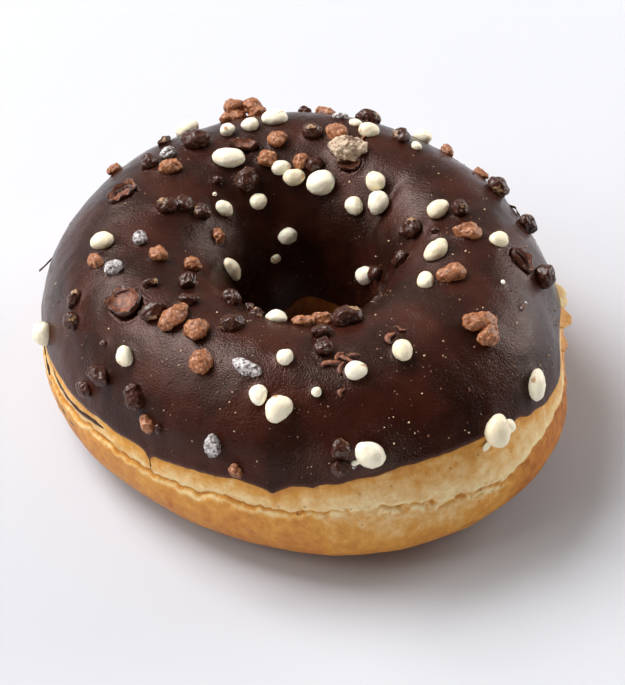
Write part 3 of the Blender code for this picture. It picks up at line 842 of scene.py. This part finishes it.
def dough_points(settings):
    """The dough's sections, finest over the bare side, and each point's browning and painted shade."""
    around = np.arange(DOUGH_COLUMNS) * 360 / DOUGH_COLUMNS
    edge, crease, hole = outer_edge(around), crease_line(around), hole_edge(around)
    below = np.concatenate((np.linspace(0, 0.86, 30, endpoint=False),
                            np.linspace(0.86, 1, 8, endpoint=False)))
    above = np.concatenate((np.linspace(0, 0.12, 4), np.linspace(0.16, 1, 26)))
    tubes = [FOOT + (crease - FOOT) * share for share in below]
    tubes += [crease + (edge - crease) * share for share in above]
    bare = len(tubes)
    tubes += [edge + step for step in (0.9, 2.5, 5.5)]
    tubes += [edge + 5.5 + (hole - 3 - edge - 5.5) * share for share in np.linspace(0.1, 1, 9)]
    sunk = len(tubes)
    tubes += [hole + step for step in (1.5, 3.0)]
    tubes += [hole + 3 + (INNER_FOOT - hole - 3) * share for share in np.linspace(0.06, 1, 18)]
    tubes += [np.full(DOUGH_COLUMNS, value) for value in (255.0, 270.0, 285.0, 297.0)]
    tube = np.stack(tubes, axis=1)
    crease, edge, hole = crease[:, None], edge[:, None], hole[:, None]
    point, _, _, outward = frame_at(around[:, None], tube)
    # Under the glaze the dough lies lower, so that only one skin shows
    lift = np.zeros_like(tube)
    lift[:, bare:sunk] = DOUGH_UNDER_GLAZE
    lift[:, bare], lift[:, bare + 1], lift[:, sunk - 1] = -0.12, -0.5, -0.9
    away = tube - crease
    torn_side = (ease(around, 262, 274) * ease(around, 352, 338))[:, None]
    smooth_side = (ease(around, 306, 316) * ease(around, 352, 338))[:, None]
    gaps = np.clip(0.55 + 1.9 * rough(on_rim(around), 3.0, 5), 0, 1)[:, None]
    opened = (1 - torn_side + torn_side * gaps) * (1 - smooth_side)
    groove = settings.crease_depth / MM * bell(np.maximum(away, 0), 1.2) * (away >= 0) * opened
    shelf = settings.ledge / MM * ease(away, 0, -0.7) * ease(tube, -52, -18)
    shelf = shelf * (1 - 0.75 * torn_side + 0.9 * smooth_side)
    shelf += 0.4 * torn_side * ease(away, -6, -18) * ease(tube, -52, -22)
    pits = ease(rough(point * (1, 1, 2.0), 1.5, 16), 0.12, 0.37)
    pits = pits * bell(away + 0.5, 2.6) * torn_side * (1 - smooth_side)
    lift += np.where(tube < edge + 0.5, shelf - groove - 0.5 * pits, 0)
    flat = ease(point[..., 2], 0, 1.5)
    showing = (tube < edge + 0.5) | (tube > hole)
    wrinkles = rough(point * (1, 1, 2.2), 2.6, 6) + 0.6 * rough(point * (1, 1, 1.6), 0.9, 7)
    wrinkles = wrinkles * settings.wrinkle / MM * (1 + 2.2 * bell(away + 1.2, 2.4))
    swell = 0.22 * rough(point, 11, 8) * ease(edge - tube, 0, 3)
    lift += np.where(showing, flat * (wrinkles + swell), 0)
    points = point + outward * lift[..., None]
    points[..., 2] = np.maximum(points[..., 2], 0)
    # Cream at the crease, browner up to the glaze and down to the foot
    start = 0.47 - 0.30 * torn_side + 0.52 * smooth_side
    above_crease = 0.02 + 0.46 * ease(tube, crease, edge + 0.01) ** (0.8 + 0.3 * torn_side)
    below_crease = start + (0.86 - start) * ease(tube, crease, FOOT) ** (0.7 - 0.15 * torn_side)
    # The torn pits are darkened as well: painted shade in their hollows
    browning_and_shade = np.where(tube > crease, above_crease, below_crease) + 0.4 * pits
    # Darker in the crease's groove: painted shade. Paler on the ledge just under it: partly the lobe's
    # own paler edge, partly a painted highlight
    browning_and_shade += opened * (0.26 * bell(away - 0.1, 0.35) - 0.34 * bell(away + 1.5, 1.0))
    browning_and_shade = np.where(tube > edge + 60, 0.86, browning_and_shade)
    browning_and_shade += 0.13 * rough(point, 7, 9) + 0.08 * rough(point, 2.2, 10)
    return points, np.clip(browning_and_shade, 0, 1)


def collars(settings):
    """Where each crisp stands in the glaze, and how far the glaze climbs it or is kept down."""
    for kind, places in kinds().items():
        for place in places:
            long, broad = place[2:4]
            centre, first, second, _ = seat(place, FLATNESS * broad)
            yield (centre, (long / 2, broad / 2), (first, second),
                   CLIMB[kind] * settings.collar / MM, BROKEN_HOLLOW * (kind == "broken"))


def glaze_points(settings):
    """The glaze's sections: its outer face with lip, ripples and collars, then its under face."""
    ring = np.arange(GLAZE_COLUMNS) * 360 / GLAZE_COLUMNS
    edge, hole = outer_edge(ring), hole_edge(ring)
    lip = [0, 0.12, 0.35, 0.75, 1.3, 2.0]
    tubes = [edge + step for step in lip]
    tubes += [edge + 2.8 + (hole - edge - 5.6) * share for share in np.linspace(0, 1, 108)]
    tubes += [hole - step for step in reversed(lip)]
    top = len(tubes)
    tubes += [hole + (edge - hole) * share for share in np.linspace(0.02, 0.98, 12)]
    tube = np.stack(tubes, axis=1)
    ring, edge, hole = ring[:, None], edge[:, None], hole[:, None]
    point, _, _, outward = frame_at(ring, tube)
    near = np.minimum(tube - edge, hole - tube)
    fade = ease(near, 0, 6)
    rounded = np.sqrt(np.clip(1 - (1 - ease(near, 0, 1.5)) ** 2, 0, 1))
    lift = (GLAZE_TOP + 0.16 + settings.bead / MM * bell(near - 2.2, 2.2)) * rounded - 0.16
    lift += fade * (glaze_relief(ring, tube)
                    + settings.wave / MM * (rough(point, 6.5, 11) + 0.6 * rough(point, 2.6, 12)))
    # One long trough on the far right and fine folds where the glaze runs down into the hole
    lift -= 0.55 * bell(ring - 35 + (tube - 118) * 0.15, 3.2) * bell(tube - 118, 14)
    lift += 0.16 * ease(tube, 120, 150) * ease(hole - tube, 0, 10) * sin_of(9 * ring + 1.5 * tube)
    for centre, sides, axes, climb, hollow in collars(settings):
        offset = point - centre
        flat = np.hypot(offset @ axes[0] / sides[0], offset @ axes[1] / sides[1])
        reach = np.linalg.norm(offset, axis=-1) < 2.2 * max(sides) + 2
        gap = np.maximum((flat - 1) * min(sides), 0)
        lift += np.where(reach, climb * np.exp(-gap / 0.42) * fade, 0)
        lift -= np.where(reach & (flat < 0.9), hollow, 0)
    lift[:, top:] = GLAZE_UNDER
    lift[:, [top, -1]] = -0.4
    thin = np.exp(-np.maximum(near, 0) / 0.75)
    thin[:, top:] = 0
    return point + outward * lift[..., None], thin


def shell_mesh(name, places, draws):
    """Crisps broken open: a thin jagged shell of coating round a hollow lined with cereal."""
    body = bmesh.new()
    for place in places:
        long, broad = place[2:4]
        centre, first, second, outward = seat(place, 0.6)
        seed = draws.uniform(0, 50)
        rows = []
        for step in range(SHELL_SIDES):
            turn = 2 * math.pi * step / SHELL_SIDES
            x, y = math.cos(turn), math.sin(turn)
            jag = 0.85 * noise.noise((2.2 * x + seed, 2.2 * y, seed))
            jag += 0.3 * noise.noise((7 * x + seed, 7 * y, seed))
            bulge = 1 + 0.22 * noise.noise((1.3 * x + seed, 1.3 * y, 3.0))
            flat = (first * (x * long / 2) + second * (y * broad / 2)) * bulge
            rows.append([body.verts.new((centre + flat * reach + outward * (rise + top * jag)) * MM)
                         for reach, rise, top in SHELL_PROFILE])
        floor, foot = (body.verts.new((centre - outward * depth) * MM) for depth in (0.4, 0.95))
        for here, there in zip(rows, rows[1:] + rows[:1]):
            for row in range(len(SHELL_PROFILE) - 1):
                face = body.faces.new((here[row], there[row], there[row + 1], here[row + 1]))
                face.material_index = int(row >= SHELL_LINING)
            body.faces.new((here[-1], there[-1], floor)).material_index = 1
            body.faces.new((there[0], here[0], foot))
    return finished(body, bpy.data.meshes.new(name))


def curl(place, draws):
    """A bent strip of chocolate, pointed at its ends, that stands off the glaze."""
    long, wide = place[2:4]
    centre, first, second, outward = seat(place, 0.2)
    bow = draws.uniform(0.2, 0.55)
    rows = []
    for share in np.linspace(-1, 1, 13):
        half = wide / 3 * math.sqrt(max(0.04, 1 - share ** 4)) * (1 - 0.35 * share)
        rise = 0.15 + bow * (1 - share ** 2) + 0.1 * math.sin(5 * share)
        drift = 0.25 * wide * math.sin(3 * share + bow * 9)
        spot = centre + first * (share * long / 2) + second * drift + outward * rise
        reach = second * half + outward * 0.25 * half
        rows.append([spot - reach, spot + reach, spot + reach - outward * CURL_THICK,
                     spot - reach - outward * CURL_THICK])
    return rows


def flake(place, thick, draws):
    """A thin ragged flake, rooted in the skin at one end and standing off it at the other."""
    long, wide = place[2:4]
    stand = place[5] + FLAKE_ROOT
    centre, first, second, outward = seat(place[:5], 0)
    seed = draws.uniform(0, 50)
    faces = [(0.5, step / 8) for step in range(9)] + [(-0.5, step / 8) for step in range(8, -1, -1)]
    rows = []
    for aside in np.linspace(-1, 1, 17):
        reach = (1 - 0.6 * aside ** 4 + 0.25 * noise.noise((2.5 * aside, seed, 0.0))
                 + 0.12 * noise.noise((8 * aside, seed, 5.0)))
        rows.append([])
        for face, out in faces:
            share = out * reach
            buckle = 0.18 * noise.noise((3 * aside, 3 * share, seed))
            rows[-1].append(centre + first * (share * long) + second * (aside * wide / 2)
                            + outward * (stand * share ** 1.2 - FLAKE_ROOT + buckle)
                            + (outward - first) * (face * thick * (1 - 0.6 * out)))
    return rows


def run(places, wide):
    """A low streak that follows the ring's skin, as thin glaze that ran or smeared."""
    stations = np.linspace(0, len(places) - 1, (len(places) - 1) * 8 + 1)
    ring, tube = (np.interp(stations, range(len(places)), values) for values in zip(*places))
    spots, _, _, outward = frame_at(ring, tube)
    aside = unit(np.cross(outward, unit(np.gradient(spots, axis=0))))
    half = wide / 2 * np.sqrt(np.clip(1 - (2 * stations / stations[-1] - 1) ** 4, 0.02, 1))
    half = half * (1 + 0.45 * rough(spots, 1.2, 13))
    rows = []
    for spot, out, cross, reach in zip(spots, outward, aside, half):
        high = RUN_HEIGHT * min(1, reach / 0.4)
        rows.append([spot + cross * (reach * math.cos(turn)) + out * (high * math.sin(turn) - 0.02)
                     for turn in np.linspace(0, math.pi, 7)])
        rows[-1] += [spot + cross * reach * side - out * RUN_SINK for side in (-0.6, 0.6)]
    return rows


def crumb_ground():
    """An open sheet over the glaze for crumbs to fall on, with how many fall on each point."""
    columns, rows = 180, 40
    ring = (np.arange(columns) * 360 / columns)[:, None]
    edge, hole = outer_edge(ring), hole_edge(ring)
    tube = edge + 2 + (hole - edge - 6) * np.linspace(0, 1, rows)[None, :]
    point, _, _, outward = frame_at(ring, tube)
    points = (point + outward * (GLAZE_TOP + glaze_relief(ring, tube))[..., None]) * MM
    index = np.arange(columns * rows).reshape(columns, rows)
    after = np.roll(index, -1, 0)
    quads = np.stack((index[:, :-1], after[:, :-1], after[:, 1:], index[:, 1:]), axis=-1)
    mesh = bpy.data.meshes.new("crumb ground")
    mesh.from_pydata(points.reshape(-1, 3).tolist(), [], quads.reshape(-1, 4).tolist())
    share = 0.45 + 0.4 * cos_of(ring + 40) + 0.8 * rough(skin(ring, tube), 9, 14)
    store(mesh, "share", np.clip(share, 0, 1).ravel())
    return mesh


class DOUGHNUT_OT_dough(bpy.types.Operator):
    """Add the baked dough with its crease, wrinkles, browning and loose flakes of crust"""
    bl_idname = "doughnut.dough"
    bl_label = "Dough"

    def execute(self, context):
        settings = context.scene.doughnut_dough
        material = dough_material(settings)
        points, browning_and_shade = dough_points(settings)
        mesh = grid_mesh("dough_crust", points, "browning_and_shade", browning_and_shade)
        add_piece("dough_crust", mesh, "dough", material, replaced="dough")
        draws = random.Random(SEED)
        flakes = strip_mesh("crust_flakes", [flake(place, CRUST_THICK, draws)
                                             for place in CRUST_FLAKES])
        store(flakes, "browning_and_shade", np.repeat(CRUST_FLAKES_BAKE, len(flakes.vertices) // len(CRUST_FLAKES)))
        add_piece("crust_flakes", flakes, "dough", material)
        return {"FINISHED"}


class DOUGHNUT_OT_glaze(bpy.types.Operator):
    """Add the poured chocolate glaze with its lip, ripples and the collars round the crisps"""
    bl_idname = "doughnut.glaze"
    bl_label = "Glaze"

    def execute(self, context):
        settings = context.scene.doughnut_glaze
        material = glaze_material(settings)
        points, thin = glaze_points(settings)
        mesh = grid_mesh("chocolate_glaze", points, "thin", thin)
        add_piece("chocolate_glaze", mesh, "icing", material, replaced="icing")
        runs = strip_mesh("glaze_runs", [run(*places) for places in RUNS])
        add_piece("glaze_runs", runs, "icing", material)
        return {"FINISHED"}


class DOUGHNUT_OT_crisps(bpy.types.Operator):
    """Add the whole coated crisps, one piece for each kind"""
    bl_idname = "doughnut.crisps"
    bl_label = "Coated crisps"

    def execute(self, context):
        settings = context.scene.doughnut_crisps
        places = kinds()
        materials = {"white": white_material, "milk": milk_material, "dark": dark_material,
                     "bloomed": bloomed_material, "puffed": cereal_material}
        labels = ("Lump size", "Lump height", "Grain size", "Grain height")
        for kind, make_material in materials.items():
            sizes = {"Divisions": settings.divisions,
                     **{label: value * MM for label, value in zip(labels, FINISHES[kind])}}
            seeds = crisp_seeds(kind, places[kind], random.Random(SEED))
            wear(grow(f"{kind}_crisps", seeds, crisp_tree, sizes, make_material(settings)))
        return {"FINISHED"}


class DOUGHNUT_OT_broken(bpy.types.Operator):
    """Add the crisps that broke open and the thin curls and flakes of chocolate"""
    bl_idname = "doughnut.broken"
    bl_label = "Broken crisps and curls"

    def execute(self, context):
        settings = context.scene.doughnut_crisps
        coating, inside = dark_material(settings), inside_material(settings)
        draws = random.Random(SEED)
        shells = shell_mesh("broken_crisps", BROKEN, draws)
        curls = strip_mesh("chocolate_curls", [curl(place, draws) for place in CURLS])
        shards = strip_mesh("chocolate_shards", [flake(place, SHARD_THICK, draws)
                                                 for place in SHARDS])
        for mesh in (shells, shards):
            store(mesh, "worn", np.full(len(mesh.vertices), BROKEN_WORN))
        add_piece("broken_crisps", shells, "icing", coating, inside)
        add_piece("chocolate_curls", curls, "icing", inside)
        add_piece("chocolate_shards", shards, "icing", coating)
        return {"FINISHED"}


class DOUGHNUT_OT_crumbs(bpy.types.Operator):
    """Add the pale and the brown crumbs scattered over the glaze"""
    bl_idname = "doughnut.crumbs"
    bl_label = "Crumbs"

    def execute(self, context):
        settings = context.scene.doughnut_crumbs
        for name, pale, deep, share, seed in CRUMB_KINDS:
            sizes = {"Crumb size": settings.size, "Density": settings.density * share / MM ** 2,
                     "Seed": seed}
            grow(name, crumb_ground(), crumb_tree, sizes,
                 crumb_material(name.replace("_", " "), pale, deep))
        return {"FINISHED"}


class DOUGHNUT_OT_stage(bpy.types.Operator):
    """Add the camera, the pale table, the soft window light and the white cards"""
    bl_idname = "doughnut.stage"
    bl_label = "Stage"

    def execute(self, context):
        settings = context.scene.doughnut_stage
        scene = context.scene
        back = Vector((0, -math.cos(settings.height), math.sin(settings.height)))
        across = Vector((1, 0, 0))
        upward = Vector((0, math.sin(settings.height), math.cos(settings.height)))
        right = math.cos(settings.roll) * across + math.sin(settings.roll) * upward
        above = -math.sin(settings.roll) * across + math.cos(settings.roll) * upward
        camera = bpy.data.objects.new("camera", bpy.data.cameras.new("camera"))
        camera.data.lens = settings.lens
        camera.data.sensor_width = 36
        camera.data.clip_start = 0.01
        turn = Matrix((right, above, back)).transposed().to_4x4()
        target = Vector(CAMERA_TARGET) * MM
        camera.matrix_world = Matrix.Translation(target + back * settings.distance) @ turn
        scene.collection.objects.link(camera)
        scene.camera = camera
        add_table(settings)
        add_light("window", 143, 53, 1.3, 0.72, settings.window, "#FFFDFC")
        add_light("side", 186, 38, 1.4, 0.9, settings.side, "#FFFDFA")
        add_light("right card", 22, 16, 0.7, 0.42, settings.card, "#FFFCF9")
        add_light("front card", 272, 6, 0.7, 0.2, settings.low, "#FFF9F2")
        scene.world = studio_world(settings)
        scene.view_settings.view_transform = "Standard"
        scene.view_settings.look = "None"
        return {"FINISHED"}


def studio_world(settings):
    """A studio that is bright overhead and behind the table, and dark behind the camera."""
    world = bpy.data.worlds.new("studio")
    world.use_nodes = True
    node = partial(add_node, world.node_tree)
    direction = node("ShaderNodeTexCoord").outputs["Generated"]
    parts = node("ShaderNodeSeparateXYZ", (direction,)).outputs
    level = node(MATH, (parts["Z"], 0.2, parts["Y"]), operation="MULTIPLY_ADD")
    strength = node(RANGE, (level, -0.1, 0.9, 0.12 * settings.fill, settings.fill),
                    interpolation_type="SMOOTHSTEP")
    fill(world.node_tree.nodes["Background"],
         {"Color": (*linear("#FFF6EE"), 1), "Strength": strength})
    return world


def add_table(settings):
    # A plain matt table top, pale and even.
    material = new_material("pale table", Roughness=0.9, Specular_IOR_Level=0.15,
                            Base_Color=(*settings.table, 1))[0]
    body = bmesh.new()
    bmesh.ops.create_circle(body, cap_ends=True, radius=2.0, segments=64)
    mesh = bpy.data.meshes.new("table")
    body.to_mesh(mesh)
    body.free()
    mesh.materials.append(material)
    table = bpy.data.objects.new("table", mesh)
    bpy.context.scene.collection.objects.link(table)


def add_light(name, round_at, height, distance, size, power, code):
    """A square soft light, by its angle round the doughnut and its angle above the table."""
    turn, rise = math.radians(round_at), math.radians(height)
    direction = Vector((math.cos(turn) * math.cos(rise), math.sin(turn) * math.cos(rise),
                        math.sin(rise)))
    lamp = bpy.data.lights.new(name, "AREA")
    lamp.size = size
    lamp.energy = power
    lamp.color = linear(code)
    item = bpy.data.objects.new(name, lamp)
    item.location = direction * distance
    item.rotation_euler = direction.to_track_quat("Z", "Y").to_euler()
    bpy.context.scene.collection.objects.link(item)


class DOUGHNUT_PT_panel(bpy.types.Panel):
    """Sizes, colours and steps of the doughnut"""
    bl_idname = "DOUGHNUT_PT_panel"
    bl_label = "Doughnut"
    bl_space_type = "VIEW_3D"
    bl_region_type = "UI"
    bl_category = "Doughnut"

    def draw(self, context):
        for key in GROUPS:
            box = self.layout.box()
            box.label(text=key.replace("doughnut_", "").capitalize())
            group = getattr(context.scene, key)
            for field in group.bl_rna.properties:
                if field.identifier not in ("rna_type", "name"):
                    box.prop(group, field.identifier)
        for operator in OPERATORS:
            self.layout.operator(operator.bl_idname)


GROUPS = {"doughnut_dough": DoughSettings, "doughnut_glaze": GlazeSettings,
          "doughnut_crisps": CrispSettings, "doughnut_crumbs": CrumbSettings,
          "doughnut_stage": StageSettings}
OPERATORS = (DOUGHNUT_OT_dough, DOUGHNUT_OT_glaze, DOUGHNUT_OT_crisps, DOUGHNUT_OT_broken,
             DOUGHNUT_OT_crumbs, DOUGHNUT_OT_stage)


def register():
    for key, group in GROUPS.items():
        bpy.utils.register_class(group)
        setattr(bpy.types.Scene, key, PointerProperty(type=group))
    for item in (*OPERATORS, DOUGHNUT_PT_panel):
        bpy.utils.register_class(item)


def unregister():
    for item in (DOUGHNUT_PT_panel, *reversed(OPERATORS)):
        bpy.utils.unregister_class(item)
    for key, group in GROUPS.items():
        delattr(bpy.types.Scene, key)
        bpy.utils.unregister_class(group)


def main():
    register()
    bpy.ops.doughnut.stage()
    bpy.ops.doughnut.dough()
    bpy.ops.doughnut.glaze()
    bpy.ops.doughnut.crisps()
    bpy.ops.doughnut.broken()
    bpy.ops.doughnut.crumbs()


if __name__ == "__main__":
    main()
